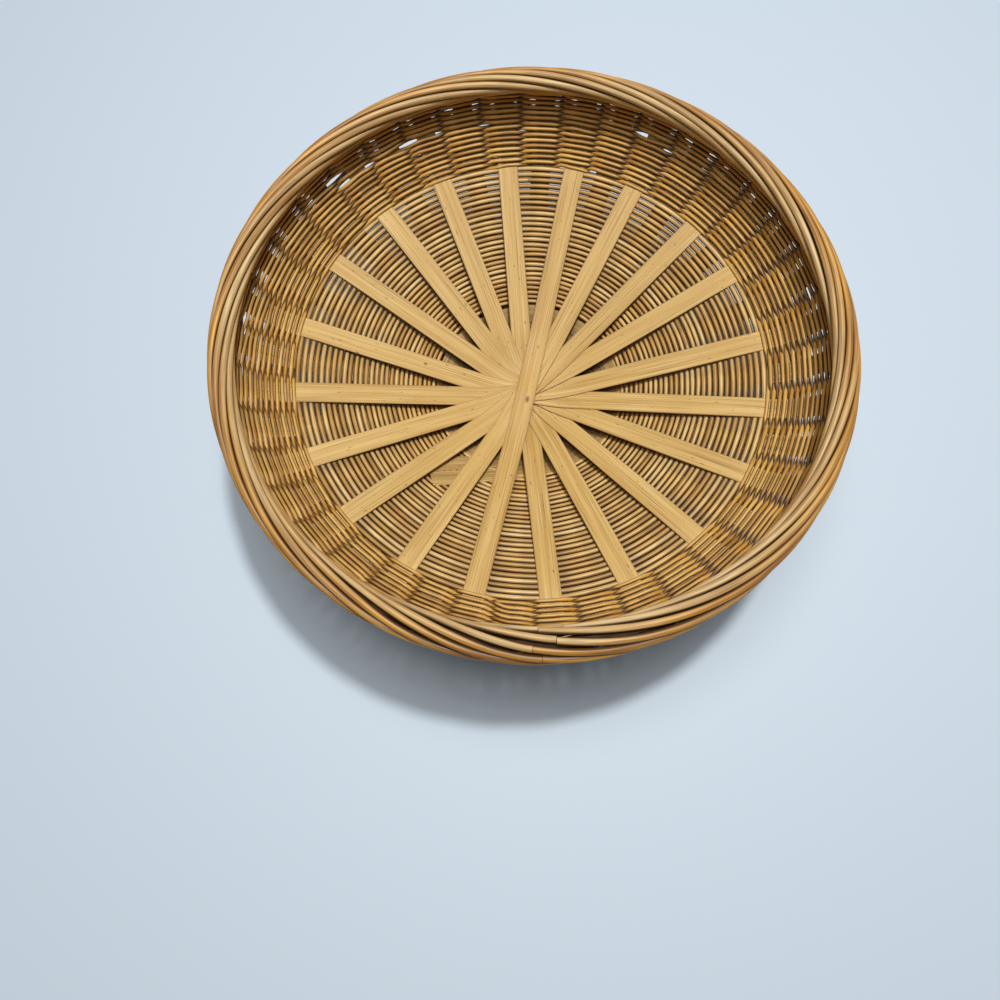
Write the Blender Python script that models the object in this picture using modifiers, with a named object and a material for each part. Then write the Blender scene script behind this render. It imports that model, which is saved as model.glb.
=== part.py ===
# Round bowl-shaped tray of woven bamboo.
# Two fans of flat slats cross in the middle, one above and one below the woven floor.
# Their ends run up inside the woven wall as stakes, under a rim of twisted canes.
# Metres, +Z up. The origin is under the middle of the tray, on the surface it stands on.
import math

import bmesh
import bpy
from mathutils import Euler, Vector

# Clearance between neighbouring pieces
clearance = 0.0003

# Rim: a bundle of round canes laid in a long twist round a hoop
rim_outer_radius = 0.150
rim_cane_radius = 0.00145
rim_cane_count = 9
rim_twists = 3
rim_bundle_radius = 0.0047
rim_joint_angle = math.radians(-90)
rim_joint_reach = math.radians(60)
rim_joint_spread = 0.0020
rim_points = 42

# Floor: a rounded cone, measured along the level of the weave
floor_radius = 0.1185
floor_slope = 0.42
floor_rounding = 0.018
floor_inner_radius = 0.0485
floor_weave_thickness = 0.0010
floor_row_count = 27
floor_row_depth = 0.0005
floor_wall_seam = 0.0007

# Wall: a curve from the edge of the floor up to the underside of the rim
wall_rise = 0.0272
wall_foot_pull = 0.012
wall_head_pull = 0.014
wall_thickness = 0.0046
wall_segments = 4

# Rows of reeds in the wall: over one stake, under the next, and crossing between them
wall_row_count = 24
wall_row_depth = 0.0006
wall_crossing_depth = 0.0006
wall_first_row = 0.0013
wall_last_row = 0.0016

# Slats: flat strips of split bamboo
slat_count = 10
slat_width = 0.0106
slat_thickness = 0.0005
slat_floor_offset = 0.00115
slat_wall_offset = 0.0005
first_slat_angle = math.radians(95)
slat_swing_degrees = (-1.0, -0.5, 0.5, 0.0, 1.0, 1.0, 1.0, 0.5, -0.5, -1.0)
slat_shift_shares = (0.05, 0.06, 0.06, 0.05, 0.05, 0.01, -0.02, 0.03, 0.02, -0.03)

# Fan: how the slats are stacked where they cross
fan_step = 0.0011
fan_flat_radius = 0.007
fan_hold_length = 0.006
fan_fall_length = 0.032
top_fan_order = (0, 9, 8, 7, 6, 5, 4, 3, 2, 1)
base_fan_order = (0, 5, 2, 7, 4, 9, 6, 1, 8, 3)
fan_strip_lead = 0.0011
stake_turn_length = 0.0082

# Locking strips: flat strips wound round between the two fans
strip_width = 0.0062
strip_thickness = 0.0005
strip_gap = 0.0005
strip_cut_angle = math.radians(222)
strip_cut_opening = math.radians(2)
strip_steps = 40

# Turned shapes
floor_steps = 40
floor_segments = 2
slot_overrun = 0.004
smooth_angle = math.radians(60)

# Stations along a slat, as shares of the stretch that they divide
middle_station_shares = (0.2, 0.35, 0.52, 0.75, 1.0)
fan_station_shares = (0.0, 0.5, 1.0)

# Worked out from the values above
rim_radius = rim_outer_radius - rim_bundle_radius - rim_cane_radius
rim_core_radius = rim_bundle_radius - rim_cane_radius - clearance
rim_underside_drop = rim_bundle_radius + rim_cane_radius + 2 * clearance
slat_angle_step = math.pi / slat_count
fan_height = (slat_count - 1) * fan_step
weave_apex_height = fan_height + fan_step / 2 + slat_thickness / 2
floor_outer_radius = floor_radius - floor_wall_seam
strips_inner_radius = floor_inner_radius - 2 * (strip_gap + strip_width)
fan_spread_radius = strips_inner_radius - fan_strip_lead
fan_hold_radius = fan_spread_radius + fan_hold_length
fan_end_radius = fan_hold_radius + fan_fall_length


def smooth(share):
    share = min(max(share, 0.0), 1.0)
    return share * share * (3 - 2 * share)


def cone_height(radius):
    # Height of the floor's weave level, a cone rounded at its tip
    return weave_apex_height + floor_slope * (math.hypot(radius, floor_rounding) - floor_rounding)


def cone_slope(radius):
    return floor_slope * radius / math.hypot(radius, floor_rounding)


def wall_point(share):
    # Place on the wall's weave level, 0 at the edge of the floor and 1 under the rim
    foot_slope = math.atan(cone_slope(floor_radius))
    foot = Vector((floor_radius, cone_height(floor_radius)))
    head = Vector((rim_radius, foot.y + wall_rise))
    foot_handle = foot + Vector((math.cos(foot_slope), math.sin(foot_slope))) * wall_foot_pull
    head_handle = head - Vector((0, 1)) * wall_head_pull
    rest = 1 - share
    return (
        foot * rest**3
        + foot_handle * 3 * rest * rest * share
        + head_handle * 3 * rest * share * share
        + head * share**3
    )


def offset_point(point, before, after, offset):
    # Moves a place on a profile along the profile's normal, up and to the inside
    along = (after - before).normalized()
    return point + Vector((-along.y, along.x)) * offset


def wall_frame(share):
    # Place on the wall's weave level, and the places just before and after it
    nudge = 1 / (4 * wall_segments)
    return wall_point(share), wall_point(max(share - nudge, 0)), wall_point(min(share + nudge, 1))


def wall_stations(side):
    # The wall's profile, or that of the stakes on one side of its weave level, from the foot up
    stations = []
    for index in range(wall_segments + 1):
        middle, before, after = wall_frame(index / wall_segments)
        offset = slat_offset(middle.x, side) if side else 0
        stations.append(offset_point(middle, before, after, offset))
    return stations


wall_head_height = wall_point(1).y
rim_height = wall_head_height + rim_underside_drop


def slat_offset(radius, side):
    # How far a slat lies from the weave level: side is 1 above the floor and -1 below it
    if radius > floor_outer_radius:
        turn = smooth((radius - floor_outer_radius) / stake_turn_length)
        return side * (slat_floor_offset + (slat_wall_offset - slat_floor_offset) * turn)
    spread = smooth((radius - fan_flat_radius) / (fan_spread_radius - fan_flat_radius))
    return side * (fan_step / 2 + (slat_floor_offset - fan_step / 2) * spread)


def fan_share(radius):
    # 1 where the slats are stacked, 0 where each one lies on the floor
    return 1 - smooth((radius - fan_hold_radius) / fan_fall_length)


def slat_height(radius, side, level):
    # The stacked slats leave the middle level, and join the floor's cone where they part
    joined = (radius - fan_flat_radius) / (fan_spread_radius - fan_flat_radius)
    height = cone_height(radius * min(max(joined, 0), 1))
    return height + slat_offset(radius, side) + side * level * fan_step * fan_share(radius)


def stretch(start, end, shares):
    return [start + (end - start) * share for share in shares]


def arm_stations(side, level):
    # One arm of a slat, from the middle of the tray to the top of the wall
    radii = [fan_flat_radius]
    radii += stretch(fan_flat_radius, fan_spread_radius, middle_station_shares)
    radii += stretch(fan_hold_radius, fan_end_radius, fan_station_shares)
    arm = [Vector((radius, slat_height(radius, side, level))) for radius in radii]
    return arm + wall_stations(side)


def material(name, colour, roughness):
    surface = bpy.data.materials.new(name)
    surface.use_nodes = True
    shader = surface.node_tree.nodes["Principled BSDF"]
    shader.inputs["Base Color"].default_value = (*colour, 1)
    shader.inputs["Roughness"].default_value = roughness
    shader.inputs["Metallic"].default_value = 0
    surface.diffuse_color = (*colour, 1)
    return surface


def mesh_object(name, bm, collection, surface):
    mesh = bpy.data.meshes.new(name)
    bm.to_mesh(mesh)
    bm.free()
    obj = bpy.data.objects.new(name, mesh)
    collection.objects.link(obj)
    if surface:
        mesh.materials.append(surface)
    return obj


def ribbon(name, stations, width, thickness, collection, surface):
    # A flat strip that follows a side view, given as places along X and Z
    bm = bmesh.new()
    verts = [bm.verts.new((place.x, -width / 2, place.y)) for place in stations]
    edges = [bm.edges.new(pair) for pair in zip(verts, verts[1:])]
    swept = bmesh.ops.extrude_edge_only(bm, edges=edges)
    moved = [item for item in swept["geom"] if isinstance(item, bmesh.types.BMVert)]
    bmesh.ops.translate(bm, verts=moved, vec=(0, width, 0))
    bmesh.ops.recalc_face_normals(bm, faces=bm.faces)
    obj = mesh_object(name, bm, collection, surface)
    wall = obj.modifiers.new("thickness", "SOLIDIFY")
    wall.thickness = thickness
    wall.offset = 0
    wall.use_even_offset = True
    return obj


def turned(name, profile, thickness, steps, angle, collection, surface):
    # A shell turned from a profile of places along X and Z, listed from the top down
    bm = bmesh.new()
    verts = [bm.verts.new((place.x, 0, place.y)) for place in profile]
    for pair in zip(verts, verts[1:]):
        bm.edges.new(pair)
    obj = mesh_object(name, bm, collection, surface)
    screw = obj.modifiers.new("turn", "SCREW")
    screw.angle = angle
    screw.steps = steps
    screw.render_steps = steps
    screw.use_merge_vertices = angle == math.tau
    screw.merge_threshold = clearance / 10
    screw.use_smooth_shade = True
    wall = obj.modifiers.new("thickness", "SOLIDIFY")
    wall.thickness = thickness
    wall.offset = 0
    wall.use_even_offset = True
    return obj


def slat_place(index, side):
    # Angle and sideways shift of a slat. A base slat lies midway between two top slats
    following = (index + 1) % slat_count
    swing = slat_swing_degrees[index]
    shift = slat_shift_shares[index]
    angle = first_slat_angle - slat_angle_step * index
    if side < 0:
        swing = (swing + slat_swing_degrees[following]) / 2
        turned_over = -1 if following == 0 else 1
        shift = (shift + turned_over * slat_shift_shares[following]) / 2
        angle -= slat_angle_step / 2
    angle += math.radians(swing)
    across = Vector((-math.sin(angle), math.cos(angle), 0))
    return angle, across * shift * slat_width


def place(obj, angle, shift):
    obj.rotation_euler = Euler((0, 0, angle))
    obj.location = shift


def make_slats(collection, surface):
    for side, order, label in ((1, top_fan_order, "top"), (-1, base_fan_order, "base")):
        for index in range(slat_count):
            # The lowest base slat carries the tray, the highest top slat closes the fan
            level = order.index(index) if side > 0 else slat_count - 1 - order.index(index)
            arm = arm_stations(side, level)
            other_arm = [Vector((-station.x, station.y)) for station in arm[::-1]]
            name = f"{label}_slat_{index + 1:02d}"
            slat = ribbon(name, other_arm + arm, slat_width, slat_thickness, collection, surface)
            place(slat, *slat_place(index, side))


def make_slots(collection):
    # One cutter for each stake, wider and thicker than it by the clearance all round
    slots = []
    for side in (1, -1):
        stations = wall_stations(side)
        before = stations[0] + (stations[0] - stations[1]).normalized() * slot_overrun
        past = stations[-1] + (stations[-1] - stations[-2]).normalized() * slot_overrun
        path = [before] + stations + [past]
        for index in range(slat_count):
            angle, shift = slat_place(index, side)
            for turn in (0, math.pi):
                name = f"slot_{len(slots) + 1:02d}"
                slot = ribbon(
                    name,
                    path,
                    slat_width + 2 * clearance,
                    slat_thickness + 2 * clearance,
                    collection,
                    None,
                )
                place(slot, angle + turn, shift)
                slot.display_type = "WIRE"
                slot.hide_render = True
                slots.append(slot)
    return slots


def make_strips(collection, surface):
    outer_edge = floor_inner_radius - strip_gap
    for label in ("outer", "inner"):
        inner_edge = outer_edge - strip_width
        profile = [Vector((radius, cone_height(radius))) for radius in (outer_edge, inner_edge)]
        turn = math.tau - strip_cut_opening
        name = f"locking_strip_{label}"
        strip = turned(name, profile, strip_thickness, strip_steps, turn, collection, surface)
        strip.rotation_euler = Euler((0, 0, strip_cut_angle))
        outer_edge = inner_edge - strip_gap


def wrapped(name, sections, collection, surface):
    # A grid wrapped into a closed ring through sections, each a closed outline of places
    columns = len(sections)
    around = len(sections[0])
    bm = bmesh.new()
    bmesh.ops.create_grid(bm, x_segments=columns, y_segments=around, size=1)
    for vert in bm.verts:
        column = round((vert.co.x + 1) / 2 * columns) % columns
        station = round((vert.co.y + 1) / 2 * around) % around
        vert.co = sections[column][station]
    bmesh.ops.remove_doubles(bm, verts=bm.verts, dist=clearance / 10)
    bmesh.ops.recalc_face_normals(bm, faces=bm.faces)
    obj = mesh_object(name, bm, collection, surface)
    obj.data.shade_smooth()
    obj.data.set_sharp_from_angle(angle=smooth_angle)
    return obj


def turned_place(place, angle):
    return Vector((place.x * math.cos(angle), place.x * math.sin(angle), place.y))


def cone_place(radius, offset):
    # A place above or below the floor's weave level, square to it
    before = Vector((radius - floor_rounding, cone_height(radius) - cone_slope(radius) * floor_rounding))
    middle = Vector((radius, cone_height(radius)))
    return offset_point(middle, before, middle, offset)


def make_floor_weave(collection, surface):
    # Rows of reeds on the upper side, as ridges, and a plain underside
    half = floor_weave_thickness / 2
    edges = [index / (2 * floor_row_count) for index in range(2 * floor_row_count + 1)]
    outline = []
    for index, radius in enumerate(stretch(floor_outer_radius, floor_inner_radius, edges)):
        outline.append(cone_place(radius, half if index % 2 else half - floor_row_depth))
    shares = [index / floor_segments for index in range(floor_segments + 1)]
    for radius in stretch(floor_inner_radius, floor_outer_radius, shares):
        outline.append(cone_place(radius, -half))
    angles = [math.tau * step / floor_steps for step in range(floor_steps)]
    sections = [[turned_place(place, angle) for place in outline] for angle in angles]
    wrapped("floor_weave", sections, collection, surface)


def stake_angles():
    # Where the stakes stand in the wall, going round to the right, a top slat's first
    angles = []
    for turn in (0, math.pi):
        for index in range(slat_count):
            for side in (1, -1):
                angle, shift = slat_place(index, side)
                along = Vector((math.cos(angle), math.sin(angle), 0))
                where = along * (wall_point(0.5).x * math.cos(turn)) + shift
                angles.append(math.atan2(where.y, where.x))
    return angles


def wall_columns():
    # The stakes, and the places midway between them where the rows cross
    stakes = stake_angles()
    columns = []
    for index, angle in enumerate(stakes):
        following = stakes[(index + 1) % len(stakes)]
        columns.append(angle)
        columns.append(angle + math.remainder(following - angle, math.tau) / 2)
    return columns


def wall_run():
    # Places up the wall, along the straight runs that the stakes follow: where, which way is
    # inside, and how much thicker the wall is there, since the stakes leave the floor apart
    frames = []
    for index in range(wall_segments + 1):
        middle, before, after = wall_frame(index / wall_segments)
        inside = offset_point(Vector((0, 0)), before, after, 1)
        frames.append((middle, inside, slat_offset(middle.x, 1) - slat_wall_offset))
    lengths = [(low[0] - high[0]).length for low, high in zip(frames, frames[1:])]
    total = sum(lengths)
    row_step = (total - wall_first_row - wall_last_row) / (wall_row_count - 1)
    distances = [0] + [wall_first_row + row_step * row for row in range(wall_row_count)] + [total]
    run = []
    for distance in distances:
        left = distance
        index = 0
        while index < wall_segments - 1 and left > lengths[index]:
            left -= lengths[index]
            index += 1
        share = left / lengths[index]
        low, high = frames[index], frames[index + 1]
        middle = low[0].lerp(high[0], share)
        inside = low[1].lerp(high[1], share).normalized()
        run.append((middle, inside, low[2] + (high[2] - low[2]) * share))
    return run


def wall_reach(face, row, column):
    # From the weave level to one face of the wall: a ridge over a stake where the row passes
    # on this side of it, lower where it passes behind, and lowest between the stakes
    between_rows = wall_thickness / 2 - wall_row_depth
    if column % 2:
        return between_rows - wall_crossing_depth
    passes = face * (-1) ** (row + column // 2) > 0
    return between_rows + wall_row_depth if passes and 0 <= row < wall_row_count else between_rows


def make_wall_weave(collection, surface, slots):
    run = list(enumerate(wall_run(), start=-1))
    sections = []
    for column, angle in enumerate(wall_columns()):
        outline = []
        for face, way in ((1, run[::-1]), (-1, run)):
            for row, (middle, inside, extra) in way:
                reach = face * (wall_reach(face, row, column) + extra)
                outline.append(turned_place(middle + inside * reach, angle))
        sections.append(outline)
    wall = wrapped("wall_weave", sections, collection, surface)
    for slot in slots:
        cut = wall.modifiers.new(slot.name, "BOOLEAN")
        cut.operation = "DIFFERENCE"
        cut.solver = "EXACT"
        cut.object = slot


def rim_place(angle, bundle_angle, reach):
    # The bundle is wider towards the inside where the ends of the canes overlap
    away = math.remainder(angle - rim_joint_angle, math.tau)
    spread = rim_joint_spread * smooth(1 - abs(away) / rim_joint_reach)
    radius = rim_radius - spread + (reach + spread * reach / rim_bundle_radius) * math.cos(bundle_angle)
    height = rim_height + reach * math.sin(bundle_angle)
    return (radius * math.cos(angle), radius * math.sin(angle), height)


def hoop(name, places, radius, collection, surface):
    curve = bpy.data.curves.new(name, "CURVE")
    curve.dimensions = "3D"
    curve.bevel_depth = radius
    curve.bevel_resolution = 1
    curve.use_fill_caps = True
    spline = curve.splines.new("POLY")
    spline.points.add(len(places) - 1)
    for point, where in zip(spline.points, places):
        point.co = (*where, 1)
    spline.use_cyclic_u = True
    curve.materials.append(surface)
    obj = bpy.data.objects.new(name, curve)
    collection.objects.link(obj)
    return obj


def make_rim(collection, cane_surface, core_surface):
    angles = [math.tau * index / rim_points for index in range(rim_points)]
    core = [rim_place(angle, 0, 0) for angle in angles]
    hoop("rim_core", core, rim_core_radius, collection, core_surface)
    for cane in range(rim_cane_count):
        start = math.tau * cane / rim_cane_count
        # Going round to the left, a cane moves outwards over the top of the bundle
        places = [rim_place(angle, start - rim_twists * angle, rim_bundle_radius) for angle in angles]
        hoop(f"rim_cane_{cane + 1}", places, rim_cane_radius, collection, cane_surface)


def main():
    for obj in list(bpy.data.objects):
        bpy.data.objects.remove(obj, do_unlink=True)
    parts = bpy.data.collections.new("woven_tray")
    cutters = bpy.data.collections.new("cutters")
    bpy.context.scene.collection.children.link(parts)
    bpy.context.scene.collection.children.link(cutters)
    slat_bamboo = material("split_bamboo", (0.62, 0.42, 0.18), 0.5)
    strip_bamboo = material("thin_bamboo_strip", (0.45, 0.28, 0.12), 0.6)
    reed = material("round_reed", (0.58, 0.36, 0.14), 0.55)
    cane = material("rim_cane", (0.55, 0.30, 0.10), 0.35)
    core = material("hoop_cane", (0.42, 0.25, 0.10), 0.6)
    make_slats(parts, slat_bamboo)
    make_strips(parts, strip_bamboo)
    make_floor_weave(parts, reed)
    make_wall_weave(parts, reed, make_slots(cutters))
    make_rim(parts, cane, core)


main()
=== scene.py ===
import math
import random

import bpy
from mathutils import Matrix, Vector, noise


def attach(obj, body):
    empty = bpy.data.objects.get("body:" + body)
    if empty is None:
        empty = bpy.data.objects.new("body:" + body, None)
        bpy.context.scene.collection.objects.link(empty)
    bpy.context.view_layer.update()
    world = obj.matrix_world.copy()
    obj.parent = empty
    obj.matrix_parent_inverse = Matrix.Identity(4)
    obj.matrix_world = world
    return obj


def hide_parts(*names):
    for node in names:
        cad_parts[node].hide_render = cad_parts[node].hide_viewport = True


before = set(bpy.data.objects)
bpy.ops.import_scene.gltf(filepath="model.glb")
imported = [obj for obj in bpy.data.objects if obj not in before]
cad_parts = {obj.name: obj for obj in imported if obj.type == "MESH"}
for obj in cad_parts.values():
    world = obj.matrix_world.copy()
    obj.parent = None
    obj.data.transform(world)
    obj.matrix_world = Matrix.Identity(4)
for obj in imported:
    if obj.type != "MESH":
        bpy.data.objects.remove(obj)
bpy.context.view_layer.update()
bpy.ops.object.select_all(action="DESELECT")
print("frame loaded")

# The bowl's curved sheet, in metres: a floor that rises outwards and a wall that turns upright
bowl = {
    "apexHeight": .0107,           # of the weave in the middle, above the table
    "slope": .42,
    "rounding": .018,              # of the floor's cone, at its tip
    "floorRadius": .1185,          # the floor turns up into the wall here
    "footPull": .012,              # how long the wall keeps the floor's slope
    "wallRise": .0272,
    "headPull": .014,              # how long it stands upright under the rim
    "wallSteps": 160,
    "rimRadius": .14385,
    "rimHeight": .08743,
}


def smooth(share):
    share = min(max(share, 0), 1)
    return share * share * (3 - 2 * share)


def floorHeight(radius):
    return bowl["apexHeight"] + bowl["slope"] * (math.hypot(radius, bowl["rounding"]) - bowl["rounding"])


def floorSlope(radius):
    return math.atan(bowl["slope"] * radius / math.hypot(radius, bowl["rounding"]))


def wallCurve(share):
    # Bezier from the floor's edge to just under the rim
    foot = Vector((bowl["floorRadius"], floorHeight(bowl["floorRadius"])))
    lean = floorSlope(bowl["floorRadius"])
    head = Vector((bowl["rimRadius"], foot.y + bowl["wallRise"]))
    footHandle = foot + Vector((math.cos(lean), math.sin(lean))) * bowl["footPull"]
    headHandle = head - Vector((0, 1)) * bowl["headPull"]
    rest = 1 - share
    return (foot * rest ** 3 + footHandle * 3 * rest ** 2 * share
            + headHandle * 3 * rest * share ** 2 + head * share ** 3)


wallSamples = [wallCurve(step / bowl["wallSteps"]) for step in range(bowl["wallSteps"] + 1)]
wallRun = [0]
for before, after in zip(wallSamples, wallSamples[1:]):
    wallRun.append(wallRun[-1] + (after - before).length)
wallLength = wallRun[-1]


def sheetPoint(distance):
    # Point and lean of the sheet. Past the floor's edge the distance goes on up the wall
    if distance <= bowl["floorRadius"]:
        return Vector((distance, floorHeight(distance))), floorSlope(distance)
    lastStep = bowl["wallSteps"] - 1
    run = min(distance - bowl["floorRadius"], wallLength)
    step = min(int(run / wallLength * bowl["wallSteps"]), lastStep)
    while step < lastStep and wallRun[step + 1] < run:
        step += 1
    while step > 0 and wallRun[step] > run:
        step -= 1
    share = (run - wallRun[step]) / (wallRun[step + 1] - wallRun[step])
    along = wallSamples[step + 1] - wallSamples[step]
    point = wallSamples[step] + along * share
    extra = max(distance - bowl["floorRadius"] - wallLength, 0)
    return point + Vector((0, extra)), math.atan2(along.y, along.x)


def sheetNormal(angle, distance):
    lean = sheetPoint(distance)[1]
    return Vector((-math.sin(lean) * math.cos(angle), -math.sin(lean) * math.sin(angle), math.cos(lean)))


def sheetOffset(distance, offset):
    # The same point, moved off the sheet to its inner side
    point, lean = sheetPoint(distance)
    return point + Vector((-math.sin(lean), math.cos(lean))) * offset


def roundSpot(angle, radius):
    return Vector((math.cos(angle), math.sin(angle))) * radius


# Finishes read each piece's own map, in metres along the fibres and across them, and its
# attributes: tone for the strip or reed, edge for its split sides, crest for its upper side
def linear(hexColour):
    values = [int(hexColour[i:i + 2], 16) / 255 for i in (1, 3, 5)]
    return [v / 12.92 if v <= .04045 else ((v + .055) / 1.055) ** 2.4 for v in values] + [1]


def addNode(tree, kind, inputs, stops=(), **settings):
    # Adds a node. An input is a value, or the socket that feeds it. The stops are the places
    # of a colour ramp, each with an amount of grey or a hex colour
    node = tree.nodes.new(kind)
    for name, value in settings.items():
        setattr(node, name, value)
    for name, value in inputs.items():
        if isinstance(value, bpy.types.NodeSocket):
            tree.links.new(value, node.inputs[name])
        else:
            node.inputs[name].default_value = value
    if stops:
        elements = node.color_ramp.elements
        while len(elements) < len(stops):
            elements.new(.5)
        for element, (place, colour) in zip(elements, stops):
            element.position = place
            element.color = linear(colour) if isinstance(colour, str) else (colour, colour, colour, 1)
    return node


def newMaterial(name, values):
    # A material, with the values that are the same all over its surface
    material = bpy.data.materials.new(name)
    material.use_nodes = True
    shader = material.node_tree.nodes["Principled BSDF"]
    for socket, value in values.items():
        shader.inputs[socket].default_value = value
    return material, material.node_tree, shader


def grain(tree, place, along, across, detail=2):
    # Noise drawn out along a strip, with so many grains per metre along it and across it
    mapping = addNode(tree, "ShaderNodeMapping", {"Vector": place, "Scale": (along, across, 1)})
    settings = {"Vector": mapping.outputs[0], "Scale": 1, "Detail": detail, "Roughness": .55}
    return addNode(tree, "ShaderNodeTexNoise", settings).outputs["Fac"]


def layColour(tree, body, colour, mask, stops):
    # Lays a colour over the body. The stops say how much of it shows at a value of the mask
    amount = addNode(tree, "ShaderNodeValToRGB", {"Fac": mask}, stops).outputs["Color"]
    laid = addNode(tree, "ShaderNodeMix", {0: amount, 6: body, 7: linear(colour)}, data_type="RGBA")
    return laid.outputs[2]


def axisDistance(tree, unit):
    # Distance from the middle of the tray, in a unit given in metres
    spot = addNode(tree, "ShaderNodeTexCoord", {}).outputs["Object"]
    scale = (1 / unit, 1 / unit, 0)
    flat = addNode(tree, "ShaderNodeVectorMath", {0: spot, 1: scale}, operation="MULTIPLY")
    return addNode(tree, "ShaderNodeVectorMath", {0: flat.outputs[0]}, operation="LENGTH").outputs["Value"]


def linkFinish(tree, shader, body, height, strength, depth):
    # Links the colour and the relief of the fibres or pores
    relief = addNode(tree, "ShaderNodeBump", {"Height": height, "Strength": strength, "Distance": depth})
    tree.links.new(relief.outputs[0], shader.inputs["Normal"])
    tree.links.new(body, shader.inputs["Base Color"])


def splitBamboo(name, light, dark, fleck, knots=(), crossingShade=False):
    # Split bamboo, scraped flat: straight fibres with a dull sheen, and brown flecks
    material, tree, shader = newMaterial(name, {"Roughness": .6, "Specular IOR Level": .38})
    place = addNode(tree, "ShaderNodeUVMap", {}, uv_map="UVMap").outputs[0]
    tone = addNode(tree, "ShaderNodeAttribute", {}, attribute_name="tone").outputs["Fac"]
    edge = addNode(tree, "ShaderNodeAttribute", {}, attribute_name="edge").outputs["Fac"]
    fibres = grain(tree, place, 14, 1500)      # 0.7 mm wide, twice the real ones, so that they show
    hairs = grain(tree, place, 20, 2100, 1)    # 0.5 mm wide, torn up by the knife
    bands = grain(tree, place, 5, 330)         # 3 mm wide, older and younger wood
    blotches = grain(tree, place, 40, 130, 3)  # 8 mm wide and 25 mm long, from hands and damp
    flecks = grain(tree, place, 240, 900, 1)   # 1 mm wide and 4 mm long
    banded = addNode(tree, "ShaderNodeMath", {0: bands, 1: tone}, operation="ADD").outputs[0]
    body = layColour(tree, linear(dark), light, banded, [(.32, 0), (.72, 1)])
    body = layColour(tree, body, dark, fibres, [(.36, .75), (.48, 0)])
    body = layColour(tree, body, "#8A6330", hairs, [(.32, .75), (.41, 0)])
    body = layColour(tree, body, "#E8D39C", hairs, [(.58, 0), (.68, .45)])
    body = layColour(tree, body, "#C49A58", blotches, [(.45, 0), (.8, .35)])
    body = layColour(tree, body, fleck, flecks, [(.70, 0), (.75, .7)])
    body = layColour(tree, body, "#8F6A36", edge, [(.86, 0), (1, .55)])        # darker towards the split edges
    for along, across, length, width in knots:
        middle, scale = (along, across, 0), (1 / length, 1 / width, 0)
        away = addNode(tree, "ShaderNodeVectorMath", {0: place, 1: middle}, operation="SUBTRACT")
        away = addNode(tree, "ShaderNodeVectorMath", {0: away.outputs[0], 1: scale}, operation="MULTIPLY")
        away = addNode(tree, "ShaderNodeVectorMath", {0: away.outputs[0]}, operation="LENGTH")
        body = layColour(tree, body, fleck, away.outputs["Value"], [(.35, .85), (1, 0)])
    if crossingShade:
        # painted shade under the crossing, which ends 41 to 50 mm from the middle
        body = layColour(tree, body, "#4A2A0C", axisDistance(tree, .1), [(.41, .62), (.50, 0)])
    linkFinish(tree, shader, body, fibres, .35, .00012)
    return material


def roundReed(name, stops, underShade):
    # Round reed pulled through a die: fine pores along it, each length has its own tone,
    # and painted shade darkens each reed on its side turned away from the bowl's inside, between the rows
    material, tree, shader = newMaterial(name, {"Roughness": .42, "IOR": 1.5})
    place = addNode(tree, "ShaderNodeUVMap", {}, uv_map="UVMap").outputs[0]
    tone = addNode(tree, "ShaderNodeAttribute", {}, attribute_name="tone").outputs["Fac"]
    crest = addNode(tree, "ShaderNodeAttribute", {}, attribute_name="crest").outputs["Fac"]
    drift = grain(tree, place, 28, 90)         # 36 mm long, as the cane grew
    pores = grain(tree, place, 60, 2600)       # 0.4 mm wide and 17 mm long
    mixedTone = addNode(tree, "ShaderNodeMath", {0: tone, 1: drift}, operation="ADD").outputs[0]
    centred = addNode(tree, "ShaderNodeMath", {0: mixedTone, 1: .5}, operation="SUBTRACT").outputs[0]
    body = addNode(tree, "ShaderNodeValToRGB", {"Fac": centred}, stops).outputs["Color"]
    body = layColour(tree, body, "#6E4418", pores, [(.34, .5), (.5, 0)])
    # painted shade: each reed is darker on the side turned away from the bowl's inside, where the rows
    # shade each other
    body = layColour(tree, body, "#3E2006", crest, [(.64, underShade), (.97, 0)])
    linkFinish(tree, shader, body, pores, .3, .0001)
    return material


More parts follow.
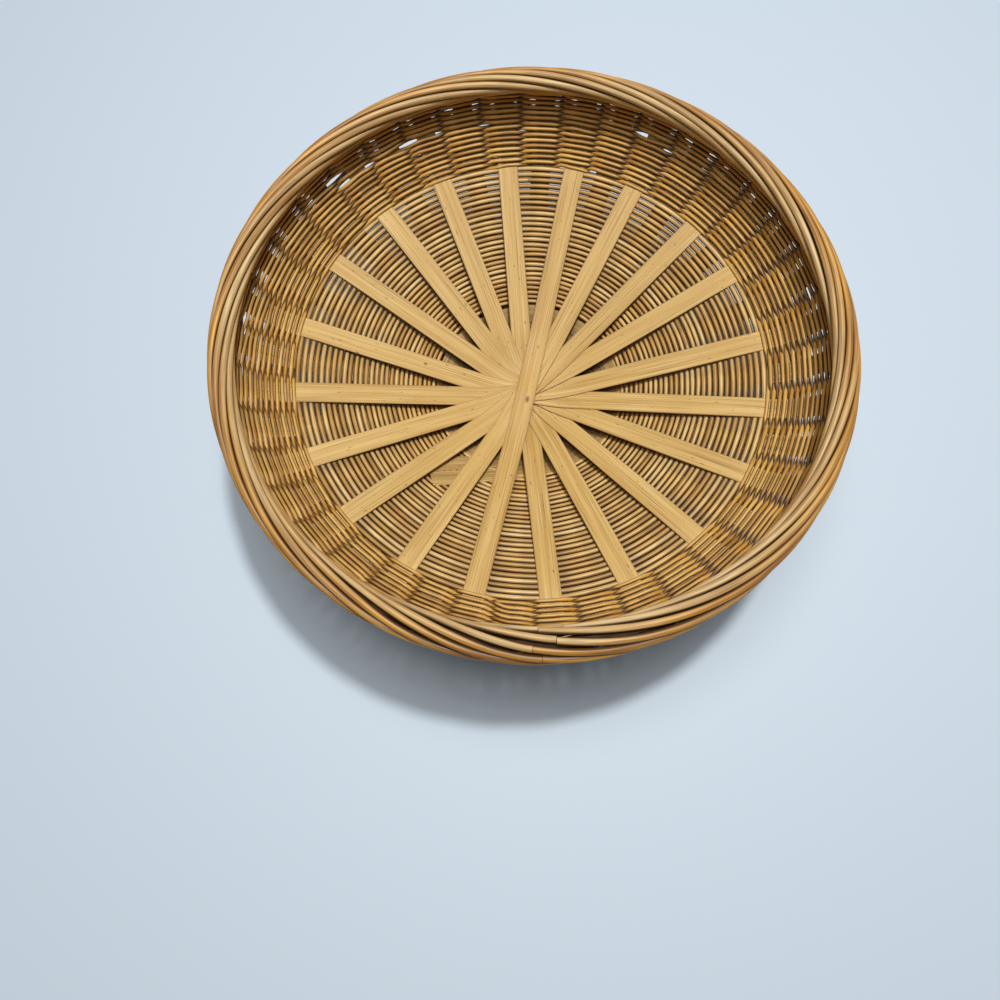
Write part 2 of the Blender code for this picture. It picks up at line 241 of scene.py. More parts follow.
def varnishedCane(name):
    # Rattan cane with worn varnish: glossy amber outside, paler and drier where hands rub
    # the top and the inside. The change comes at 140 to 147 mm from the middle
    material, tree, shader = newMaterial(name, {"IOR": 1.5})
    place = addNode(tree, "ShaderNodeUVMap", {}, uv_map="UVMap").outputs[0]
    tone = addNode(tree, "ShaderNodeAttribute", {}, attribute_name="tone").outputs["Fac"]
    crest = addNode(tree, "ShaderNodeAttribute", {}, attribute_name="crest").outputs["Fac"]
    outwards = axisDistance(tree, 1)
    left = addNode(tree, "ShaderNodeMapRange", {"Value": outwards, "From Min": .1398, "From Max": .1466})
    streaks = grain(tree, place, 16, 420, 3)   # 2.4 mm wide and 60 mm long
    pores = grain(tree, place, 60, 2200)       # 0.5 mm wide and 17 mm long
    drift = grain(tree, place, 9, 40)          # 110 mm long, where more varnish is left
    varnish = addNode(tree, "ShaderNodeMath", {0: left.outputs[0], 1: tone}, operation="ADD").outputs[0]
    varnish = addNode(tree, "ShaderNodeMath", {0: varnish, 1: drift}, operation="ADD").outputs[0]
    varnish = addNode(tree, "ShaderNodeMath", {0: varnish, 1: .75}, operation="SUBTRACT", use_clamp=True)
    pale = layColour(tree, linear("#AC8148"), "#DFC088", streaks, [(.35, 0), (.65, 1)])
    amber = layColour(tree, linear("#925A14"), "#DCA038", streaks, [(.35, 0), (.65, 1)])
    both = {0: varnish.outputs[0], 6: pale, 7: amber}
    body = addNode(tree, "ShaderNodeMix", both, data_type="RGBA").outputs[2]
    body = layColour(tree, body, "#5E3812", pores, [(.34, .45), (.5, 0)])
    # painted shade: each cane is darker on its side towards the hoop and the other canes
    body = layColour(tree, body, "#3A1E08", crest, [(.52, .9), (.78, 0)])
    linkFinish(tree, shader, body, pores, .3, .0001)
    rough = addNode(tree, "ShaderNodeMapRange", {"Value": varnish.outputs[0], "To Min": .52, "To Max": .42})
    tree.links.new(rough.outputs[0], shader.inputs["Roughness"])
    return material


def shadedHoop(name):
    # The hoop inside the rim, planed wood: dull, with a grain of about 5 mm, and drawn dark as painted
    # shade, for it lies inside the canes
    material, tree, shader = newMaterial(name, {"Roughness": .9})
    spot = addNode(tree, "ShaderNodeTexCoord", {}).outputs["Object"]
    settings = {"Vector": spot, "Scale": 220, "Detail": 3, "Roughness": .55}
    rings = addNode(tree, "ShaderNodeTexNoise", settings).outputs["Fac"]
    body = layColour(tree, linear("#2E1A0A"), "#4A2E14", rings, [(.35, 0), (.65, 1)])
    tree.links.new(body, shader.inputs["Base Color"])
    return material


finishes = {
    # One knot near the crossing of the highest slat, and a smaller one on the way to the left.
    # Each is a place on the slats' map, a length and a width, in metres
    "topSlat": splitBamboo("scrapedBambooSlat", "#DAB670", "#BE9650", "#6B3F18",
                           ((.604, .2353, .0026, .0014), (3.6032, .4228, .0013, .0009))),
    "baseSlat": splitBamboo("shadedBambooSlat", "#C4A266", "#9A7638", "#5A3614", crossingShade=True),
    "strip": splitBamboo("thinBambooStrip", "#C9A867", "#A07C40", "#5A3614", crossingShade=True),
    "floorReed": roundReed("pulledFloorReed",
                           [(.15, "#A0742F"), (.4, "#C6964A"), (.62, "#DCB267"), (.85, "#E8C688")], .97),
    # the wall's reeds are drawn darker and more amber than the floor's: partly their own tone, partly
    # painted shade and warm light bounced inside the bowl
    "wallReed": roundReed("pulledWallReed",
                          [(.15, "#936622"), (.4, "#BE8A38"), (.62, "#D4A24B"), (.85, "#E0B468")], .86),
    "rimCane": varnishedCane("varnishedRimCane"),
    "core": shadedHoop("shadedHoopWood"),
}
print("finishes ready")


def finishPiece(obj, finish, nodes, smoothAngle):
    obj.data.materials.clear()
    obj.data.materials.append(finishes[finish])
    bpy.ops.object.select_all(action="DESELECT")
    obj.select_set(True)
    bpy.context.view_layer.objects.active = obj
    bpy.ops.object.shade_smooth_by_angle(angle=math.radians(smoothAngle))
    obj.select_set(False)
    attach(obj, "root")
    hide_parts(*nodes)


def setAttribute(piece, name, values):
    # One value for each point of the mesh, for the finishes to read
    piece.data.attributes.new(name, "FLOAT", "POINT").data.foreach_set("value", values)


def layCane(name, points, radii, facings, thickness, sides, tone, startRun):
    # A round cane along the points, as a bevelled curve made a mesh, with its map in metres.
    # Its crest attribute is 1 on the side that a facing points to, and 0 on the other side
    bpy.ops.curve.primitive_bezier_curve_add()
    cane = bpy.context.object
    cane.name = name
    cane.data.splines.clear()
    spline = cane.data.splines.new("POLY")
    spline.points.add(len(points) - 1)
    for point, place, radius in zip(spline.points, points, radii):
        point.co = (*place, 1)
        point.radius = radius
    cane.data.twist_mode = "MINIMUM"
    cane.data.bevel_depth = thickness / 2
    cane.data.bevel_resolution = sides // 2 - 2
    cane.data.use_fill_caps = True
    bpy.ops.object.convert(target="MESH")
    cane = bpy.context.object
    length = sum((after - before).length for before, after in zip(points, points[1:]))
    for item in cane.data.uv_layers[0].data:
        item.uv = (startRun + item.uv[0] * length, item.uv[1] * math.pi * thickness)
    setAttribute(cane, "tone", [tone] * len(cane.data.vertices))
    # a ring of vertices stands at each point, and one more at each cap
    stations = [0, *range(len(points)), len(points) - 1]
    ring = len(cane.data.vertices) // len(stations)
    crests = []
    for index, vertex in enumerate(cane.data.vertices):
        station = stations[index // ring]
        up = (vertex.co - points[station]).dot(facings[station]) / (radii[station] * thickness / 2)
        crests.append(.5 + .5 * up)
    setAttribute(cane, "crest", crests)
    return cane


def joinPieces(parts, name):
    bpy.ops.object.select_all(action="DESELECT")
    for part in parts:
        part.select_set(True)
    bpy.context.view_layer.objects.active = parts[0]
    bpy.ops.object.join()
    parts[0].name = parts[0].data.name = name
    return parts[0]


# Slats: split bamboo that crosses in the middle, lies on the weave and runs on up the wall
slats = {
    "count": 10,
    "width": .0106,
    "thickness": .00055,
    "bevel": .00014,
    "firstAngle": 94.9,            # degrees, of the first end
    # each is turned by hand by so many degrees, and put off centre by so much
    "swings": (-1.15, -.65, .7, -.1, 1.35, .8, 1.05, .45, -.9, -1.1),
    "shifts": (.0012, .0010, .0013, .0008, .0016, -.0006, -.0008, .0012, .0006, -.0010),
    "stakeRadius": .125,           # where a shift is taken as an angle, for the stakes in the wall
    "fanStep": .00109,             # from one stacked slat to the next. The lowest one lies on the table
    "topStep": .00072,             # the upper stack is pressed tighter
    "straightFrom": .030,          # from here a top slat runs straight to the wall's foot
    "straightHeight": .0246,       # its height above the table there
    "middleFill": .5,              # how full its rounded middle is
    "straightEnd": .112,           # from here it bends down to the weave
    "straightFade": .0055,
    "fanTilt": .00062,             # where they part, each lies with one edge on the next
    "partStart": .013,
    "partEnd": .037,
    "tiltEnd": .075,
    "tiltFade": .035,
    "leastRadius": .001,           # a slat's tilt isn't measured nearer to the middle
    "flatRadius": .007,
    "spreadRadius": .034,          # the stack follows the floor from here
    "holdRadius": .040,            # and a base slat comes up to the weave from here
    "fallLength": .032,
    "floorOffset": .00136,
    "turnStart": .1172,            # the ends dive under the wall's first row
    "turnLength": .0045,
    "endGap": .0004,               # below the wall's head
    "unevenEdge": .025,            # split by hand, never quite straight
    "edgeWaves": (25, 3),          # per metre along a slat, and from edge to edge
    "toneSpread": .07,
    "mapSteps": (.61, .037),       # each slat has its own part of the grain
    "mapSide": .2,
    "topOrder": (0, 9, 8, 7, 6, 5, 4, 3, 2, 1),
    "baseOrder": (0, 5, 2, 7, 4, 9, 6, 1, 8, 3),
    "stations": 156,
    "smoothAngle": 40,
}


def slatPlace(index, side):
    # Angle and sideways shift of a slat. A base slat lies midway between two top slats
    following = (index + 1) % slats["count"]
    swing, shift = slats["swings"][index], slats["shifts"][index]
    step = 180 / slats["count"]
    angle = slats["firstAngle"] - step * index
    if side < 0:
        turnedOver = -1 if following == 0 else 1
        swing = (swing + slats["swings"][following]) / 2
        shift = (shift + turnedOver * slats["shifts"][following]) / 2
        angle -= step / 2
    return math.radians(angle + swing), shift


def slatTilt(radius, aside, half):
    # Past the crossing a slat leans: its clockwise edge lies on the next slat.
    # The highest slat lies on both neighbours (half 1), and the lowest under both (half -1)
    share = math.degrees(math.atan2(aside, radius)) * slats["count"] / 180
    return slats["fanTilt"] * (abs(share) * half if half else -share)


def topSlatHeight(distance):
    # Split bamboo is stiff: a straight line over the floor, and a rounded middle
    foot, half = bowl["floorRadius"], slats["straightFrom"]
    lean = (floorHeight(foot) + slats["floorOffset"] - slats["straightHeight"]) / (foot - half)
    if distance > half:
        return slats["straightHeight"] + lean * (distance - half)
    share = distance / half
    drop = (1 - share ** 2) * (1 - slats["middleFill"] * (1 - share) ** 2)
    return slats["straightHeight"] - lean * half * drop / 2


def slatOffset(radius, side):
    spread = smooth((radius - slats["flatRadius"]) / (slats["spreadRadius"] - slats["flatRadius"]))
    near = slats["fanStep"] / 2
    dive = smooth((radius - slats["turnStart"]) / slats["turnLength"])
    return side * (near + (slats["floorOffset"] - near) * spread) * (1 - dive)


def stackRise(distance, along, across, side, level):
    # Height of a slat over the weave's sheet, all measured straight up
    if side < 0:
        joined = (distance - slats["flatRadius"]) / (slats["spreadRadius"] - slats["flatRadius"])
        sunk = floorHeight(distance * min(max(joined, 0), 1)) - floorHeight(distance)
        held = 1 - smooth((distance - slats["holdRadius"]) / slats["fallLength"])
        return sunk - level * slats["fanStep"] * held
    top = slats["count"] - 1
    half = {0: -1, top: 1}.get(level, 0)
    parted = smooth((distance - slats["partStart"]) / (slats["partEnd"] - slats["partStart"]))
    tilt = slatTilt(max(abs(along), slats["leastRadius"]), across if along > 0 else -across, half)
    tilt *= smooth((slats["tiltEnd"] - distance) / slats["tiltFade"])
    laid = topSlatHeight(distance) - sheetOffset(distance, slatOffset(distance, side)).y
    laid *= 1 - smooth((distance - slats["straightEnd"]) / slats["straightFade"])
    return laid + (1 - parted) * (level - top / 2) * slats["topStep"] + parted * tilt


def slatPoint(along, across, side, level):
    # A point of the draped slat, in the slat's own direction
    distance = math.hypot(along, across)
    place = sheetOffset(distance, slatOffset(distance, side))
    rise = stackRise(distance, along, across, side, level) if distance < bowl["floorRadius"] else 0
    forward = math.sqrt(max(place.x ** 2 - across ** 2, 0))
    return Vector((math.copysign(forward, along), across, place.y + rise))


def makeSlat(name, index, side, level):
    length = 2 * (bowl["floorRadius"] + wallLength - slats["endGap"])
    bpy.ops.mesh.primitive_grid_add(x_subdivisions=slats["stations"], y_subdivisions=4, size=1)
    slat = bpy.context.object
    slat.name = slat.data.name = name
    angle, shift = slatPlace(index, side)
    draw = random.Random(100 * side + index)
    seed = Vector((draw.uniform(0, 50), 0, 0))
    turn = Matrix.Rotation(angle, 3, "Z")
    for loop in slat.data.loops:
        flat = slat.data.vertices[loop.vertex_index].co
        slat.data.uv_layers[0].data[loop.index].uv = (
            flat.x * length + index * slats["mapSteps"][0],
            flat.y * slats["width"] + index * slats["mapSteps"][1] + side * slats["mapSide"])
    tone = draw.uniform(-slats["toneSpread"], slats["toneSpread"])
    setAttribute(slat, "tone", [tone] * len(slat.data.vertices))
    setAttribute(slat, "edge", [abs(vertex.co.y) * 2 for vertex in slat.data.vertices])
    for vertex in slat.data.vertices:
        along = vertex.co.x * length
        wave = Vector((along * slats["edgeWaves"][0], vertex.co.y * slats["edgeWaves"][1], 0))
        across = shift + vertex.co.y * slats["width"] * (1 + slats["unevenEdge"] * noise.noise(seed + wave))
        vertex.co = turn @ slatPoint(along, across, side, level)
    for kind, settings in (("SOLIDIFY", {"thickness": slats["thickness"], "offset": 0}),
                           ("BEVEL", {"width": slats["bevel"], "segments": 1, "limit_method": "ANGLE"})):
        modifier = slat.modifiers.new(kind, kind)
        for key, value in settings.items():
            setattr(modifier, key, value)
        bpy.ops.object.modifier_apply(modifier=modifier.name)
    return slat


for side, order, word, node in ((1, slats["topOrder"], "topSlat", "top_slat"),
                                (-1, slats["baseOrder"], "baseSlat", "base_slat")):
    for index in range(slats["count"]):
        slat = makeSlat(f"{word}{index + 1}", index, side, order[index])
        finishPiece(slat, word, [f"{node}_{index + 1:02d}"], slats["smoothAngle"])
print("slats laid")

# Locking strips: thin strip wound twice between the two fans
strips = {
    "names": ("Inside", "Outside"),
    "inner": .0335,
    "width": .0080,
    "gap": .0003,
    "thickness": .0005,
    "leaveAngle": 278,             # degrees. Here one end leaves the ring and runs on over the reeds
    "straightEnds": ((.0455, .0586), (.0586, .0575)),      # of each strip, at its inner and its outer edge
    "overlap": 18,                 # degrees, the other end goes on under the first
    "tuckFrom": .9,                # of a strip's length
    "tuckLength": .1,
    "tuckDepth": .0006,
    "reedsFrom": .0475,            # the straight end comes up onto the reeds here
    "reedsLength": .004,
    "onReeds": .0013,              # how high it lies on them
    "mapStep": .3,
    "stations": 130,
    "smoothAngle": 40,
}


def stripPoint(strip, along, across):
    # A point of a strip laid round, and how far along the strip it lies, in metres.
    # Along and across run from 0 to 1
    start = math.radians(strips["leaveAngle"])
    inside = strips["inner"] + strip * (strips["width"] + strips["gap"])
    radius = inside + across * strips["width"]
    ends = strips["straightEnds"][strip]
    straight = ends[0] + (ends[1] - ends[0]) * across
    sweep = math.tau - math.radians(strips["overlap"])
    run = -straight + (straight + sweep * inside) * along
    spot = roundSpot(start + max(run, 0) / inside, radius)
    lift = -strips["tuckDepth"] * smooth((along - strips["tuckFrom"]) / strips["tuckLength"])
    if run < 0:
        spot += Vector((math.sin(start), -math.cos(start))) * -run
        lift += strips["onReeds"] * smooth((spot.length - strips["reedsFrom"]) / strips["reedsLength"])
    return Vector((*spot, floorHeight(spot.length) + lift)), run


def makeStrip(name, strip):
    # A flat ring that follows the floor's cone, with one end left straight
    bpy.ops.mesh.primitive_grid_add(x_subdivisions=strips["stations"], y_subdivisions=4, size=1)
    piece = bpy.context.object
    piece.name = piece.data.name = name
    for loop in piece.data.loops:
        flat = piece.data.vertices[loop.vertex_index].co
        run = stripPoint(strip, flat.x + .5, flat.y + .5)[1]
        piece.data.uv_layers[0].data[loop.index].uv = (
            run + strip, flat.y * strips["width"] + strip * strips["mapStep"])
    for vertex in piece.data.vertices:
        vertex.co = stripPoint(strip, vertex.co.x + .5, vertex.co.y + .5)[0]
    modifier = piece.modifiers.new("SOLIDIFY", "SOLIDIFY")
    modifier.thickness, modifier.offset = strips["thickness"], 0
    bpy.ops.object.modifier_apply(modifier=modifier.name)
    return piece


for strip, node in enumerate(("locking_strip_inner", "locking_strip_outer")):
    piece = makeStrip("lockingStrip" + strips["names"][strip], strip)
    finishPiece(piece, "strip", [node], strips["smoothAngle"])
print("locking strips laid")

# What the two weaves share: how a path is cut into reeds, and how it steps from row to row
reeds = {
    "lengthSpread": (.6, 1.25),
    "girthSpread": (.94, 1.05),
    "toneSpread": (.3, .7),
    "mapSpread": (0, 5),
    "uneven": .05,                 # a reed is thicker and thinner along itself
    "unevenWaves": (.7, .11),      # for each point of the path, up to the reed and along it
    "leastPoints": 12,             # a shorter rest goes with the last reed
    "stepFrom": .986,              # of a turn, where a row steps out to the next one
    "stepLength": .014,
    "sides": 8,
    "smoothAngle": 60,
}


def ringAngles():
    # Where the ends of the slats stand round the wall, with 1 for a top slat and -1 for a base slat
    found = []
    for side in (1, -1):
        for index in range(slats["count"]):
            angle, shift = slatPlace(index, side)
            for turned, lean in ((0, 1), (math.pi, -1)):
                found.append(((angle + turned + lean * shift / slats["stakeRadius"]) % math.tau, side))
    return sorted(found)


stakes = ringAngles()


def betweenStakes(angle):
    # The sides of the stakes before and after this angle, the share of the way between them,
    # and the whole way as an angle
    angle %= math.tau
    for index, (start, side) in enumerate(stakes):
        end, nextSide = stakes[(index + 1) % len(stakes)]
        if end < start:
            end += math.tau
        for turned in (0, math.tau):
            if start <= angle + turned < end:
                return side, nextSide, (angle + turned - start) / (end - start), end - start


def rowAt(turns, rows):
    # A whole row number all the way round, then a quick step to the next row at the end of the
    # turn. The first and the last row go on past the step, so they close
    row = math.floor(turns)
    stepped = row + smooth((turns - row - reeds["stepFrom"]) / reeds["stepLength"])
    return min(max(stepped, 0), rows - 1)


def layReeds(points, squeeze, facings, settings, word, seed):
    # Cuts a long path into reeds, each a little thicker or thinner and with its own tone
    draw = random.Random(seed)
    laid, start = [], 0
    while start < len(points) - 2:
        length, end = 0, start
        wanted = settings["reedLength"] * draw.uniform(*reeds["lengthSpread"])
        while end < len(points) - 1 and length < wanted:
            length += (points[end + 1] - points[end]).length
            end += 1
        if len(points) - end < reeds["leastPoints"]:
            end = len(points) - 1
        girth = draw.uniform(*reeds["girthSpread"])
        tone, startRun = draw.uniform(*reeds["toneSpread"]), draw.uniform(*reeds["mapSpread"])
        radii = []
        for place in range(start, end + 1):
            waves = start * reeds["unevenWaves"][0] + (place - start) * reeds["unevenWaves"][1]
            uneven = 1 + reeds["uneven"] * noise.noise(Vector((waves, seed, 3)))
            radii.append(girth * squeeze[place] * uneven)
        laid.append(layCane(f"{word}{len(laid)}", points[start:end + 1], radii, facings[start:end + 1],
                            settings["thickness"], reeds["sides"], tone, startRun))
        start = end
    return laid


# Floor weave: one spiral of reed over the base slats and under the top slats
floorReeds = {
    "thickness": .00252,
    "innerRadius": .0511,
    "outerRadius": .1178,
    "rows": 27,
    "stepsPerTurn": 180,
    "startSteps": -4,              # the first row starts before the step, and closes
    "stepAngle": 259,              # degrees. Each row steps out to the next one here, under a slat
    "heart": (-.0004, .0013),      # the first rows lie off centre
    "spacing": (.91, .09),         # thinner reeds are beaten closer together near the middle
    "girth": (.91, .18),           # of a reed in the middle, and what it gains to the edge
    "reedLength": .52,             # metres, before the next reed takes over
    "lift": .00022,                # over a base slat, and down under a top slat
    "wander": .0003,               # rows don't lie quite evenly
    "wanderWaves": (3, .9),        # round a row, and from row to row
    "notch": .80,                  # painted shade: beside a base slat the crests count only so much, so the reeds come out darker
}


def floorPath():
    # Points of the whole spiral, from the middle outwards
    points, squeeze, facings = [], [], []
    even, growing = floorReeds["spacing"]
    thin, gain = floorReeds["girth"]
    around, outwards = floorReeds["wanderWaves"]
    width = floorReeds["outerRadius"] - floorReeds["innerRadius"]
    for step in range(floorReeds["startSteps"], floorReeds["rows"] * floorReeds["stepsPerTurn"]):
        turns = step / floorReeds["stepsPerTurn"]
        angle = math.radians(floorReeds["stepAngle"]) + math.tau * turns
        row = rowAt(turns, floorReeds["rows"])
        share = row / (floorReeds["rows"] - 1)
        radius = floorReeds["innerRadius"] + width * (even * share + growing * share ** 2)
        wave = noise.noise(Vector((*roundSpot(angle, around), row * outwards)))
        radius += floorReeds["wander"] * wave * (1 - share ** 8)           # the last row lies true
        squeeze.append(thin + gain * share)
        side, nextSide, between, span = betweenStakes(angle)
        lift = -side * math.cos(math.pi * between) * floorReeds["lift"]
        spot = roundSpot(angle, radius) + Vector(floorReeds["heart"]) * (1 - share) ** 2
        place = sheetOffset(spot.length, lift)
        spot = spot.normalized() * place.x
        points.append(Vector((*spot, place.y)))
        # painted shade: beside a base slat the reeds are drawn darker, as dark notches, than where one
        # holds them up
        aside = abs(between - (0 if side < 0 else 1)) * span * radius
        held = side != nextSide and aside < slats["width"] / 2
        facings.append(sheetNormal(angle, spot.length) * (1 if held else floorReeds["notch"]))
    return points, squeeze, facings


floorParts = layReeds(*floorPath(), floorReeds, "floorReed", 7)
floor = joinPieces(floorParts, "floorReeds")
finishPiece(floor, "floorReed", ["floor_weave"], reeds["smoothAngle"])
print("floor woven,", len(floorParts), "reeds")

# Wall weave: pairs of reeds that twist round each other between the 40 stakes
wallReeds = {
    "thickness": .0020,
    "pairs": 14,
    "stepsPerTurn": 280,
    "startSteps": -6,
    "rowStep": .00136,             # from a row of one strand to the next row, of the other strand
    "depth": .00112,               # from the sheet to the middle of a reed that passes a stake
    "flatLength": .0118,           # a reed lies flat along a stake, and changes sides in what is left
    "squeeze": .06,                # reeds are pressed thinner there
    "shade": .05,                  # and painted shade lies on them there
    "stepAngle": 264,
    "firstRow": .0013,             # above the floor's edge
    "lastRow": .0005,              # below the wall's head
    "reedLength": .62,
    "wander": .0003,
    "wanderWaves": (4, .8, 7),
    # where rows have parted: angle in degrees, height over the floor's edge, reach in degrees, and how far
    "loose": ((134, .0285, 3, .0011), (133.5, .0245, 3, .0009), (127, .0242, 2.2, .0008),
              (117.3, .0249, 3.6, .0013), (115, .0175, 1.6, .0005), (173.2, .0300, 2.6, .0010),
              (170.5, .0190, 1.8, .0006), (180, .0271, 2, .0007), (110.5, .0239, 1.8, .0008),
              (98.8, .0225, 1.4, .0006), (90.5, .0185, 1.3, .0005), (78.5, .0205, 1.7, .0006),
              (62.8, .0266, 3, .0010), (57, .0249, 1.6, .0006), (43, .0317, 2, .0006),
              (10, .0288, 2.2, .0007), (165, .0307, 1.8, .0006), (97.5, .0014, 1.6, .0006),
              (80, .0010, 1.6, .0006), (72.2, .0021, 1.8, .0007)),
    "looseDepth": .0045,           # the rows further off hold their place
}


def loosened(angle, distance):
    # Rows on both sides of a loose place move apart
    moved = 0
    for place, height, reach, opening in wallReeds["loose"]:
        aside = math.degrees(math.remainder(angle - math.radians(place), math.tau)) / reach
        if abs(aside) < 3:
            above = distance - bowl["floorRadius"] - height
            fade = math.exp(-aside ** 2 - abs(above) / wallReeds["looseDepth"])
            moved += math.copysign(opening * fade, above)
    return moved


def wallPath(strand):
    # Over one stake and under the next. The two strands keep to alternate rows
    points, squeeze, facings = [], [], []
    low = bowl["floorRadius"] + wallReeds["firstRow"] + strand * wallReeds["rowStep"]
    high = bowl["floorRadius"] + wallLength - wallReeds["lastRow"] - (1 - strand) * wallReeds["rowStep"]
    around, upwards, first = wallReeds["wanderWaves"]
    for step in range(wallReeds["startSteps"], wallReeds["pairs"] * wallReeds["stepsPerTurn"]):
        angle = math.radians(wallReeds["stepAngle"]) + math.tau * step / wallReeds["stepsPerTurn"]
        row = rowAt(step / wallReeds["stepsPerTurn"], wallReeds["pairs"])
        distance = low + (high - low) * row / (wallReeds["pairs"] - 1)
        side, nextSide, share, span = betweenStakes(angle)
        reach = span * sheetPoint(distance)[0].x
        crossing = 1 - wallReeds["flatLength"] / reach       # of the way to the next stake
        inner = 1 - 2 * smooth((share - .5) / crossing + .5)
        facing = -side if strand else side
        wave = noise.noise(Vector((*roundSpot(angle, around), first + row * upwards)))
        distance += wallReeds["wander"] * wave
        distance += loosened(angle, low + (high - low) * round(row) / (wallReeds["pairs"] - 1))
        place = sheetOffset(distance, wallReeds["depth"] * inner * facing)
        points.append(Vector((*roundSpot(angle, place.x), place.y)))
        squeeze.append(1 - wallReeds["squeeze"] * (1 - inner ** 2))
        facings.append(sheetNormal(angle, distance) * (1 - wallReeds["shade"] * (1 - inner ** 2)))
    return points, squeeze, facings


wallParts = [reed for strand in (0, 1)
             for reed in layReeds(*wallPath(strand), wallReeds, f"wallReed{strand}", 20 + strand)]
wall = joinPieces(wallParts, "wallReeds")
finishPiece(wall, "wallReed", ["wall_weave"], reeds["smoothAngle"])
print("wall woven,", len(wallParts), "reeds")

# Rim: canes laid round a hoop in a long twist
rim = {
    "canes": 9,
    "twists": 3,
    "bundleRadius": .00456,
    "thickness": .0032,
    "jointAngle": -90,             # degrees, where the ends lie side by side
    "jointReach": 60,
    "jointSpread": .0020,
    "endReach": 40,                # degrees, in which a cane's end comes up to where the next one starts
    "endStarts": (1, -2, 3.5, 0, -1.5, 2.5, -.5, 4, .5),   # degrees from the joint, of each cane's start
    "endGap": .0014,               # as an angle, from a cane's end to its own start
    "wander": .12,                 # canes don't lie quite evenly in the twist
    "wanderWaves": (2, 3.1),       # round the rim, and from cane to cane
    "uneven": .05,                 # a cane is thicker and thinner along itself
    "unevenWaves": (.05, 5),
    "toneSpread": (0, .5),
    "mapSpread": (0, 5),
    "steps": 300,
    "sides": 12,
    "smoothAngle": 60,
}


def rimPlace(angle, bundleAngle, reach):
    away = math.remainder(angle - math.radians(rim["jointAngle"]), math.tau)
    spread = rim["jointSpread"] * smooth(1 - abs(away) / math.radians(rim["jointReach"]))
    across = reach + spread * reach / rim["bundleRadius"]
    radius = bowl["rimRadius"] - spread + across * math.cos(bundleAngle)
    return Vector((*roundSpot(angle, radius), bowl["rimHeight"] + reach * math.sin(bundleAngle)))


for index in range(rim["canes"]):
    draw = random.Random(50 + index)
    start = math.radians(rim["jointAngle"] + rim["endStarts"][index])
    finish = math.radians(rim["jointAngle"] + rim["endStarts"][index - 1]) + math.tau - rim["endGap"]
    points, radii, facings = [], [], []
    for step in range(rim["steps"]):
        angle = start + (finish - start) * step / (rim["steps"] - 1)
        moved = smooth(1 - (finish - angle) / math.radians(rim["endReach"]))
        bundleAngle = math.tau * (index - moved) / rim["canes"] - rim["twists"] * angle
        wave = Vector((*roundSpot(angle, rim["wanderWaves"][0]), index * rim["wanderWaves"][1]))
        bundleAngle += rim["wander"] * noise.noise(wave)
        points.append(rimPlace(angle, bundleAngle, rim["bundleRadius"]))
        facings.append((points[-1] - rimPlace(angle, bundleAngle, 0)).normalized())
        wave = Vector((step * rim["unevenWaves"][0], index * rim["unevenWaves"][1], 0))
        radii.append(1 + rim["uneven"] * noise.noise(wave))
    tone, startRun = draw.uniform(*rim["toneSpread"]), draw.uniform(*rim["mapSpread"])
    cane = layCane(f"rimCane{index + 1}", points, radii, facings,
                   rim["thickness"], rim["sides"], tone, startRun)
    finishPiece(cane, "rimCane", [f"rim_cane_{index + 1}"], rim["smoothAngle"])
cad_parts["rim_core"].data.materials.clear()
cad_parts["rim_core"].data.materials.append(finishes["core"])
print("rim laid")

# Table and light: a plain painted table, one small lamp for the shadows and one wide one
room = {
    "tableSize": 8,
    "tableHeight": -.0002,         # just under the tray
    "tableColour": "#CAD7E2",
    "tableRoughness": .55,
    "skyColour": "#F2F4F8",
    "skyLight": .08,               # on the tray and the table
    "skySeen": .95,                # by the camera
    "skyMirrored": .45,            # how much of that shows in gloss
    "target": (0, 0, .05),
    # name, place, size in metres and power in watts
    "lamps": (("keyLamp", (.20, .27, 1.5), .13, 13.5), ("ceilingLamp", (-.05, .12, 1.6), 1.0, 12)),
}

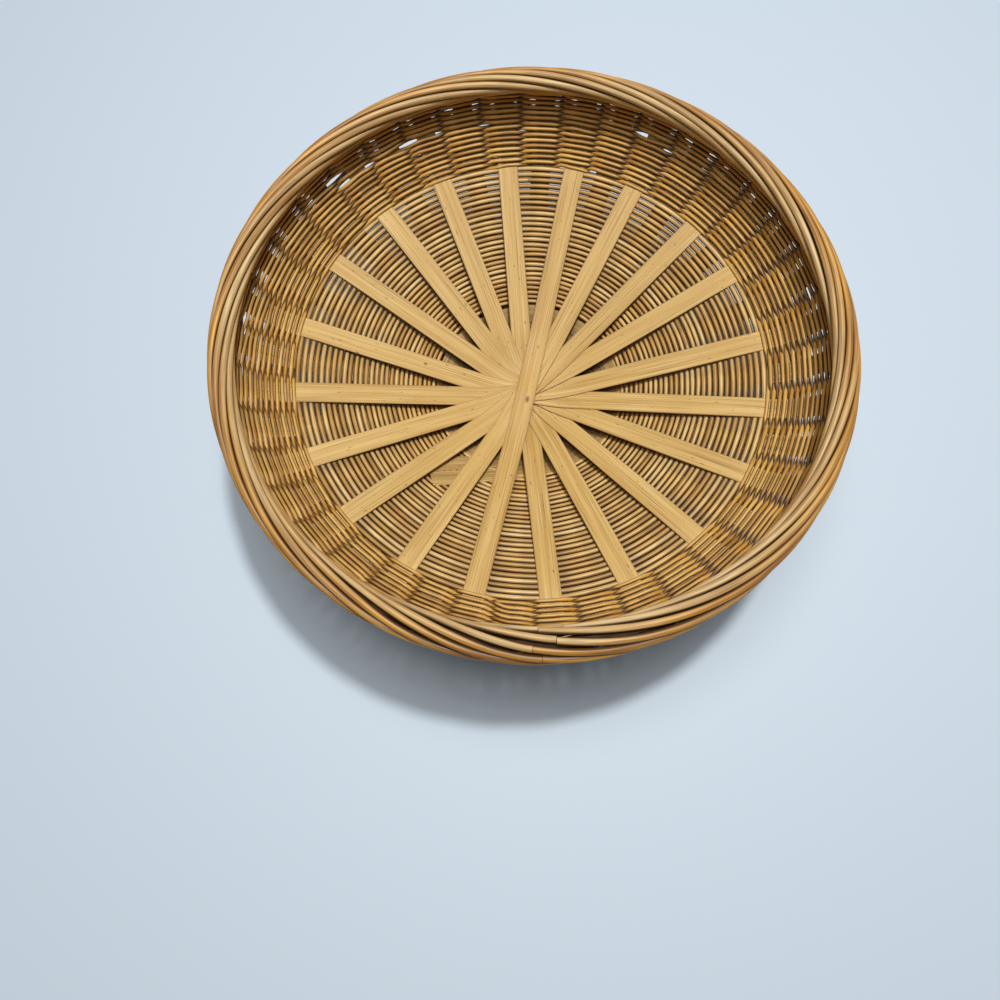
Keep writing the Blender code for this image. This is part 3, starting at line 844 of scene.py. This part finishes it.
bpy.ops.mesh.primitive_plane_add(size=room["tableSize"], location=(0, 0, room["tableHeight"]))
table = bpy.context.object
table.name = "tableTop"
paint = {"Base Color": linear(room["tableColour"]), "Roughness": room["tableRoughness"]}
table.data.materials.append(newMaterial("paintedTable", paint)[0])

world = bpy.data.worlds.new("softRoom")
world.use_nodes = True
bpy.context.scene.world = world
tree = world.node_tree
sky = tree.nodes["Background"]
sky.inputs["Color"].default_value = linear(room["skyColour"])
rays = addNode(tree, "ShaderNodeLightPath", {}).outputs
gloss = {0: rays["Is Glossy Ray"], 1: room["skyMirrored"]}
gloss = addNode(tree, "ShaderNodeMath", gloss, operation="MULTIPLY").outputs[0]
seen = addNode(tree, "ShaderNodeMath", {0: rays["Is Camera Ray"], 1: gloss}, operation="MAXIMUM").outputs[0]
seen = addNode(tree, "ShaderNodeMath", {0: seen, 1: rays["Is Transmission Ray"]}, operation="MAXIMUM")
strength = addNode(tree, "ShaderNodeMapRange",
                   {"Value": seen.outputs[0], "To Min": room["skyLight"], "To Max": room["skySeen"]})
tree.links.new(strength.outputs[0], sky.inputs["Strength"])

for name, place, size, power in room["lamps"]:
    bpy.ops.object.light_add(type="AREA", location=place)
    lamp = bpy.context.object
    lamp.name = name
    lamp.data.shape = "DISK"
    lamp.data.size = size
    lamp.data.energy = power
    lamp.rotation_euler = (Vector(room["target"]) - Vector(place)).to_track_quat("-Z", "Y").to_euler()
print("table and lamps placed")

# From the photograph: the lens sees 66.7 degrees, and the camera leans 15 degrees from straight down
view = {
    "sensor": 36,
    "lens": 27.36,
    "nearest": .01,
    "place": (-.01458, -.16700, .40650),
    "right": (.99983, -.01622, -.00926),
    "up": (.01809, .96410, .26491),
}

bpy.ops.object.camera_add()
camera = bpy.context.object
camera.data.sensor_width, camera.data.lens = view["sensor"], view["lens"]
camera.data.clip_start = view["nearest"]
right, up = Vector(view["right"]), Vector(view["up"])
turned = Matrix((right, up, right.cross(up))).transposed().to_4x4()
camera.matrix_world = Matrix.Translation(view["place"]) @ turned
bpy.context.scene.camera = camera
bpy.context.scene.view_settings.view_transform = "Standard"
print("camera set")
